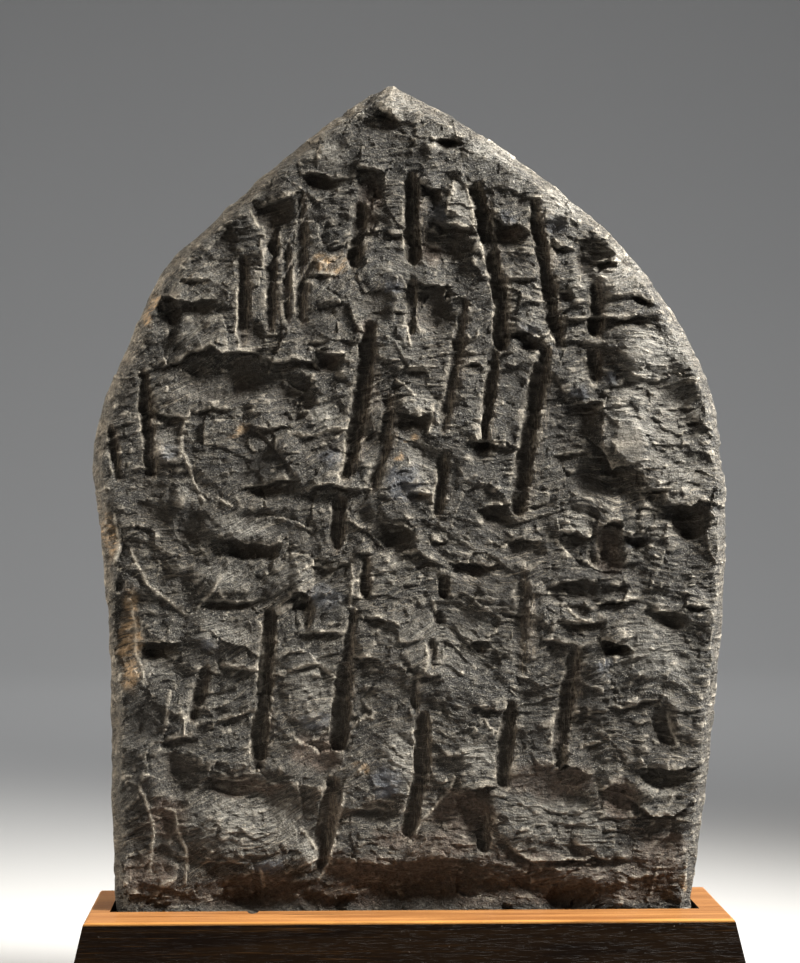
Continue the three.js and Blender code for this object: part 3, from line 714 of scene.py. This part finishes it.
def colour_masks(mesh):
    """Stores what the material needs: the beds' height, where the stone is pale, has wear or is stained, and
    where painted light and shade go.
    """
    places, normals = mesh_arrays(mesh)
    ends = edge_ends(mesh)
    near_mean = smoothed(places, ends, 5)
    far_mean = smoothed(near_mean, ends, 50)
    proud = np.einsum("ij,ij->i", places - near_mean, normals)
    deep = -np.einsum("ij,ij->i", places - far_mean, normals)
    flat = places[:, ::2]
    sheet = to_sheet(flat) + 7.0 * rough_pair(flat, 0.02, 3, 33, 34)
    on_face = ramp(-normals[:, 1], -0.2, 0.3)

    def patches(ovals):
        return np.max([spot(sheet, *oval) for oval in ovals], axis=0) * on_face

    patchy = ramp(rough(flat, 0.012, 3, seed=35), -0.5, 0.5)
    drawn = wandering_sheet(flat)
    _, lips, painted_fill_sides = stroke_cuts(drawn)
    _, ledge_edges = ledge_cuts(drawn)
    # Painted highlights: thin pale marks on the strokes' left lips, the ledges' edges and, just below, the
    # crests, where the raking light would catch
    lit_edges = (0.3 + 0.7 * patchy) * np.maximum(0.8 * lips, 0.75 * ledge_edges)
    painted_highlight_lines = np.maximum(crest_lines(drawn), lit_edges)
    _, painted_light_shade = lean_forms(drawn)
    toward_viewer = -normals_of(far_mean, mesh)[:, 1]
    rim = ramp(toward_viewer, 0.05, 0.35) * ramp(-toward_viewer, -0.75, -0.4)
    masks = {
        "layer": layer_height(places),
        # Painted light and shade on the broad masses, from how each leans to the light
        "painted_light_shade": 0.5 + 0.5 * painted_light_shade * on_face,
        "edge": rim * (0.2 + 0.8 * patchy) * (1 - 0.7 * ramp(flat[:, 0], -0.05, 0.1)),
        "face": on_face,
        # Pale wear on proud edges, plus painted highlights along the strokes' lips, the ledges' edges and the
        # crests
        "worn_and_painted_highlight": np.maximum(ramp(proud, 0.00035, 0.0013) * patchy, painted_highlight_lines * on_face),
        # Painted shade: darker in the small creases between proud grains
        "painted_crease_shade": ramp(-proud, 0.00005, 0.0006),
        # Painted fill light: the deep hollows are coloured lighter and warmer, lifting their shade
        "painted_fill_in_hollows": ramp(deep, 0.0004, 0.0035),
        # Real stains, and a painted warm fill light on the strokes' right sides
        "brown_stain_and_painted_fill": np.maximum(patches(BROWN), 0.45 * painted_fill_sides * on_face),
        # Pale upright fibres, painted on the strokes' right sides where the fill light falls
        "fibres_in_painted_fill": painted_fill_sides * on_face,
        "ochre": patches(OCHRE),
        "bluish": patches(BLUISH),
    }
    for name, values in masks.items():
        attribute = mesh.attributes.new(name, "FLOAT", "POINT")
        attribute.data.foreach_set("value", values.astype(np.float32))


class Nodes:
    """A material's node tree, built one node at a time."""

    def __init__(self, name):
        self.material = bpy.data.materials.new(name)
        self.material.use_nodes = True
        self.tree = self.material.node_tree
        self.shader = self.tree.nodes["Principled BSDF"]
        self.place = self.add("ShaderNodeTexCoord").outputs["Object"]

    def add(self, kind, **settings):
        node = self.tree.nodes.new(kind)
        for key, value in settings.items():
            setattr(node, key, value)
        return node

    def feed(self, socket, value):
        """Links a socket to the value where that is another socket, and otherwise sets it."""
        if isinstance(value, bpy.types.NodeSocket):
            self.tree.links.new(value, socket)
        else:
            socket.default_value = value

    def bed_along(self, name):
        """Lets the noise that follows lie along the beds whose height the mesh attribute gives."""
        parts = self.add("ShaderNodeSeparateXYZ")
        self.feed(parts.inputs[0], self.place)
        joined = self.add("ShaderNodeCombineXYZ")
        self.feed(joined.inputs["X"], parts.outputs["X"])
        self.feed(joined.inputs["Y"], parts.outputs["Y"])
        self.feed(joined.inputs["Z"], self.attribute(name))
        self.place = joined.outputs[0]

    def stretched(self, scale):
        node = self.add("ShaderNodeVectorMath", operation="MULTIPLY")
        self.feed(node.inputs[0], self.place)
        self.feed(node.inputs[1], scale)
        return node.outputs[0]

    def noise(self, size, detail=4, roughness=0.6, stretch=(1, 1, 1), warp=0.0):
        """Noise with features about size metres across, drawn out along the axes by stretch."""
        node = self.add("ShaderNodeTexNoise")
        self.feed(node.inputs["Vector"], self.stretched(tuple(1 / (size * part) for part in stretch)))
        self.feed(node.inputs["Scale"], 1.0)
        self.feed(node.inputs["Detail"], detail)
        self.feed(node.inputs["Roughness"], roughness)
        self.feed(node.inputs["Distortion"], warp)
        return node.outputs["Fac"]

    def cells(self, size):
        """How far each place is from the nearest of scattered points about size metres apart."""
        node = self.add("ShaderNodeTexVoronoi", feature="F1")
        self.feed(node.inputs["Vector"], self.stretched((1 / size,) * 3))
        self.feed(node.inputs["Scale"], 1.0)
        return node.outputs["Distance"]

    def attribute(self, name):
        return self.add("ShaderNodeAttribute", attribute_name=name).outputs["Fac"]

    def spread(self, value, low, high, start=0.0, end=1.0):
        """Carries the value from the range low to high over to the range start to end, and holds it there."""
        node = self.add("ShaderNodeMapRange", clamp=True)
        self.feed(node.inputs["Value"], value)
        for socket, number in zip(node.inputs[1:5], (low, high, start, end)):
            self.feed(socket, number)
        return node.outputs["Result"]

    def work_out(self, operation, first, second, clamp=False):
        node = self.add("ShaderNodeMath", operation=operation, use_clamp=clamp)
        self.feed(node.inputs[0], first)
        self.feed(node.inputs[1], second)
        return node.outputs[0]

    def product(self, first, second):
        return self.work_out("MULTIPLY", first, second, clamp=True)

    def gap(self, first, second):
        """How far apart two values are."""
        return self.work_out("ABSOLUTE", self.work_out("SUBTRACT", first, second), 0.0)

    def mix(self, share, first, second):
        node = self.add("ShaderNodeMix", data_type="RGBA", blend_type="MIX")
        self.feed(node.inputs["Factor"], share)
        for name, colour in (("A", first), ("B", second)):
            linked = isinstance(colour, bpy.types.NodeSocket)
            self.feed(node.inputs[name], colour if linked else (*colour, 1))
        return node.outputs["Result"]

    def bump(self, height, depth, strength=1.0, onto=None):
        node = self.add("ShaderNodeBump")
        self.feed(node.inputs["Height"], height)
        self.feed(node.inputs["Distance"], depth)
        self.feed(node.inputs["Strength"], strength)
        if onto is not None:
            self.feed(node.inputs["Normal"], onto)
        return node.outputs["Normal"]


def stone_material():
    """Dark, fine-grained stone with painted light and shade: nearly black in its creases as painted shade,
    pale and dusty where edges have wear, with painted highlights and glints.
    """
    made = Nodes("dark_stone")
    broad = made.noise(0.06, 3, 0.6)
    grain = made.noise(0.0034, 3, 0.8)
    glint_specks = made.noise(0.0013, 2, 0.7)
    upright = made.noise(0.0017, 2, 0.6, (1, 3, 7), 1.2)
    made.bed_along("layer")
    strata = made.noise(0.0042, 4, 0.75, (5, 3, 1), 0.5)
    combed = made.noise(0.0024, 3, 0.7, (6, 4, 1), 0.9)
    hairs = made.spread(made.gap(made.noise(0.0046, 1.5, 0.5, (5, 4, 1), 1.5), 0.5), 0.045, 0.010)
    threads = made.spread(made.gap(made.noise(0.0070, 1, 0.5, (9, 4, 1), 1.6), 0.5), 0.012, 0.002)

    painted_light_shade = made.attribute("painted_light_shade")
    dusty = made.product(hairs, made.attribute("face"))
    painted_lit_side = made.spread(painted_light_shade, 0.55, 1.0, 0.0, 0.56)
    painted_fill_fibres = made.product(made.attribute("fibres_in_painted_fill"), 0.6)
    # The stains' colour, also used as the painted warm fill on the strokes' right sides
    brown_stain_and_painted_fill = made.mix(made.spread(grain, 0.4, 0.6), (0.040, 0.0285, 0.0215), (0.120, 0.087, 0.065))
    ochre_share = made.product(made.attribute("ochre"), made.spread(strata, 0.44, 0.58, 0.1, 0.85))
    edge_share = made.product(made.attribute("edge"), made.spread(grain, 0.35, 0.6, 0.05, 0.5))
    coats = [
        (made.product(made.spread(combed, 0.56, 0.61), 0.36), (0.150, 0.136, 0.110)),
        (made.product(dusty, made.spread(broad, 0.35, 0.6, 0.12, 0.55)), (0.200, 0.178, 0.140)),
        # Painted glints: sparse pale specks where grain facets would catch the light
        (made.product(made.spread(glint_specks, 0.60, 0.65), 0.62), (0.33, 0.315, 0.275)),
        (made.product(made.attribute("bluish"), 0.65), (0.095, 0.105, 0.125)),
        (made.product(made.spread(broad, 0.4, 0.65), 0.4), (0.032, 0.027, 0.021)),
        # Painted light: masses leaning toward the light are coloured lighter
        (made.product(painted_lit_side, made.spread(combed, 0.42, 0.57, 0.08, 1.0)), (0.25, 0.237, 0.208)),
        # Painted shade: masses leaning away from the light are coloured darker
        (made.spread(painted_light_shade, 0.5, 0.1, 0.0, 0.65), (0.018, 0.016, 0.013)),
        # Painted fill light in the deep hollows
        (made.product(made.attribute("painted_fill_in_hollows"), 0.72), (0.064, 0.053, 0.041)),
        # Painted shade in the small creases
        (made.product(made.attribute("painted_crease_shade"), 0.45), (0.014, 0.012, 0.010)),
        # Stains, and painted warm fill light on the strokes' right sides
        (made.product(made.attribute("brown_stain_and_painted_fill"), made.spread(broad, 0.35, 0.6, 0.3, 0.75)), brown_stain_and_painted_fill),
        # Pale upright fibres as painted fill light on the strokes' right sides
        (made.product(made.spread(upright, 0.50, 0.60), painted_fill_fibres), (0.24, 0.205, 0.155)),
        (ochre_share, (0.36, 0.245, 0.135)),
        (made.product(threads, made.spread(broad, 0.45, 0.6, 0.15, 0.65)), (0.26, 0.225, 0.175)),
        (edge_share, (0.22, 0.185, 0.140)),
        # Pale wear on proud edges, plus the painted highlights on lips, ledge edges and crests
        (made.product(made.attribute("worn_and_painted_highlight"), made.spread(grain, 0.3, 0.6, 0.3, 1.0)), (0.40, 0.36, 0.295)),
    ]
    colour = made.mix(made.spread(grain, 0.35, 0.65), (0.0055, 0.0052, 0.0047), (0.020, 0.0190, 0.0170))
    for share, tint in coats:
        colour = made.mix(share, colour, tint)
    made.feed(made.shader.inputs["Base Color"], colour)
    made.feed(made.shader.inputs["Roughness"], made.spread(grain, 0.3, 0.7, 0.82, 0.55))
    made.shader.inputs["Specular IOR Level"].default_value = 0.3

    normal = None
    for height, depth in ((strata, 0.0034), (combed, 0.0034), (grain, 0.0026), (glint_specks, 0.0014)):
        normal = made.bump(height, depth, 1.0, normal)
    made.feed(made.shader.inputs["Normal"], normal)
    return made.material


def rail_crack(made):
    """1 on the fine crack in the rail's top, and 0 away from it."""
    start, end, line = RAIL_CRACK
    place = made.add("ShaderNodeSeparateXYZ")
    made.feed(place.inputs[0], made.place)
    wander = made.spread(made.noise(0.05, 2), 0.3, 0.7, line - 0.001, line + 0.001)
    apart = made.gap(place.outputs["Y"], wander)
    ends = made.product(made.spread(place.outputs["X"], start, start + 0.01),
                        made.spread(place.outputs["X"], end, end - 0.02))
    return made.product(made.spread(apart, 0.0011, 0.0005), ends)


def wood_material(name):
    """Varnished wood with its grain along X, with painted light and shade: lit orange-brownish on top, nearly
    black as painted shade on the battered sides, and a painted highlight on the eased edges.
    """
    made = Nodes(name)
    fibre = made.noise(0.0012, 4, 0.6, (60, 1, 1), 0.2)
    figure = made.noise(0.010, 3, 0.55, (18, 1, 1), 0.8)
    pores = made.noise(0.0006, 2, 0.5, (26, 1, 1))
    facing = made.add("ShaderNodeSeparateXYZ")
    made.feed(facing.inputs[0], made.add("ShaderNodeNewGeometry").outputs["Normal"])
    # How much each face looks up, which sets the painted light on top and the painted shade on the sides
    upwards = made.spread(facing.outputs["Z"], 0.30, 0.93)
    # Painted light: the lit orange of the top faces
    top = made.mix(made.spread(figure, 0.35, 0.65), (0.135, 0.056, 0.018), (0.255, 0.122, 0.042))
    top = made.mix(made.product(made.spread(fibre, 0.45, 0.7), 0.45), top, (0.20, 0.075, 0.025))
    # Painted shade: the nearly black sides
    side = made.mix(made.spread(figure, 0.35, 0.65), (0.0025, 0.0012, 0.0006), (0.007, 0.0035, 0.0013))
    side = made.mix(made.product(made.spread(fibre, 0.60, 0.74), 0.45), side, (0.060, 0.027, 0.007))
    colour = made.mix(upwards, side, top)

    # Painted highlight: a gold band along the eased edges, where the light would catch the varnish
    eased = made.product(made.spread(facing.outputs["Z"], 0.32, 0.45),
                         made.spread(facing.outputs["Z"], 0.985, 0.93))
    painted_edge_highlight = made.product(eased, made.spread(figure, 0.3, 0.7, 0.25, 0.9))
    colour = made.mix(painted_edge_highlight, colour, (0.36, 0.17, 0.045))
    if name == "rail_wood":
        colour = made.mix(rail_crack(made), colour, (0.02, 0.008, 0.003))
    dust = made.product(made.spread(made.cells(0.0055), 0.06, 0.045),
                        made.spread(made.noise(0.012, 2), 0.52, 0.62))
    colour = made.mix(made.product(dust, 0.35), colour, (0.40, 0.36, 0.32))
    made.feed(made.shader.inputs["Base Color"], colour)
    made.feed(made.shader.inputs["Roughness"], made.spread(upwards, 0.0, 1.0, 0.4, 0.3))
    made.shader.inputs["Specular IOR Level"].default_value = 0.06
    made.shader.inputs["Coat Weight"].default_value = 0.02
    made.shader.inputs["Coat Roughness"].default_value = 0.2
    normal = made.bump(fibre, 0.00025, 0.35)
    normal = made.bump(made.spread(pores, 0.32, 0.42), 0.0003, 0.5, normal)
    made.feed(made.shader.inputs["Normal"], normal)
    return made.material


def paint(piece, material):
    piece.data.materials.clear()
    piece.data.materials.append(material)


def lathe(name, profile, steps):
    """A surface of revolution about Z from a profile of (radius, height) points."""
    vertices = [(r * math.cos(a), r * math.sin(a), z) for r, z in profile
                for a in (2 * math.pi * step / steps for step in range(steps))]
    faces = [(ring * steps + step, ring * steps + (step + 1) % steps,
              (ring + 1) * steps + (step + 1) % steps, (ring + 1) * steps + step)
             for ring in range(len(profile) - 1) for step in range(steps)]
    mesh = bpy.data.meshes.new(name)
    mesh.from_pydata(vertices, [], faces)
    mesh.shade_smooth()
    return new_object(name, mesh)


def studio():
    """A pale floor that rises into a pale wall all round."""
    floor_radius, wall_radius, wall_height, bend_steps = 3.6, 6.0, 6.0, 14
    bend = wall_radius - floor_radius
    profile = [(0.001, 0.0), (1.0, 0.0), (floor_radius, 0.0)]
    for step in range(1, bend_steps + 1):
        angle = math.pi / 2 * step / bend_steps
        profile.append((floor_radius + bend * math.sin(angle), bend * (1 - math.cos(angle))))
    profile.append((wall_radius, wall_height))
    stage = lathe("studio_floor", profile, 96)
    made = Nodes("studio_paper")
    made.feed(made.shader.inputs["Base Color"],
              made.mix(made.noise(1.5, 2), (0.29, 0.29, 0.29), (0.31, 0.309, 0.307)))
    made.shader.inputs["Roughness"].default_value = 0.9
    paint(stage, made.material)


def area_light(name, place, target, size, power, colour, spread):
    """A round, soft light at a place, aimed at a target; its spread is in degrees."""
    light = bpy.data.lights.new(name, "AREA")
    light.shape = "DISK"
    light.size = size
    light.energy = power
    light.color = colour
    light.spread = math.radians(spread)
    holder = bpy.data.objects.new(name, light)
    holder.location = place
    holder.rotation_euler = (Vector(target) - Vector(place)).to_track_quat("-Z", "Y").to_euler()
    holder.visible_camera = False
    bpy.context.scene.collection.objects.link(holder)


def lights():
    """A raking key from the upper right, a weak fill from the left, two rims and a lamp over the backdrop."""
    middle = (0.0, FACE_Y, 0.42)
    area_light("key", (1.75, FACE_Y - 0.50, 1.95), middle, 0.65, 28, (1.0, 0.97, 0.91), 50)
    area_light("left_fill", (-1.9, -0.75, 0.75), middle, 0.9, 1.8, (1.0, 0.84, 0.66), 60)
    area_light("left_rim", (-1.9, 0.2, 1.1), middle, 0.6, 9, (1.0, 0.92, 0.80), 60)
    area_light("right_rim", (1.9, 0.06, 1.2), middle, 0.5, 14, (1.0, 0.98, 0.95), 60)
    area_light("backdrop", (0.0, 1.5, 4.0), (0.0, 3.8, 0.0), 2.2, 70, (1.0, 1.0, 1.0), 120)
    world = bpy.data.worlds.new("room")
    world.use_nodes = True
    background = world.node_tree.nodes["Background"]
    background.inputs["Color"].default_value = (0.92, 0.95, 1.0, 1)
    background.inputs["Strength"].default_value = 0.32
    bpy.context.scene.world = world


def camera():
    data = bpy.data.cameras.new("photo_camera")
    data.lens = CAMERA_LENS
    data.sensor_width = SENSOR
    data.clip_start = 0.05
    data.clip_end = 50
    holder = bpy.data.objects.new("photo_camera", data)
    holder.location = CAMERA_PLACE
    holder.rotation_euler = (math.pi / 2, 0, -CAMERA_TURN)
    bpy.context.scene.collection.objects.link(holder)
    bpy.context.scene.camera = holder


bpy.context.scene.view_settings.view_transform = "Standard"
camera()
lights()
studio()

stone = hewn_stone()
paint(stone, stone_material())
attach(stone, "root")
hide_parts("stele")

paint(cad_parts["plinth_block"], wood_material("plinth_wood"))
paint(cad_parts["plinth_front_rail"], wood_material("rail_wood"))
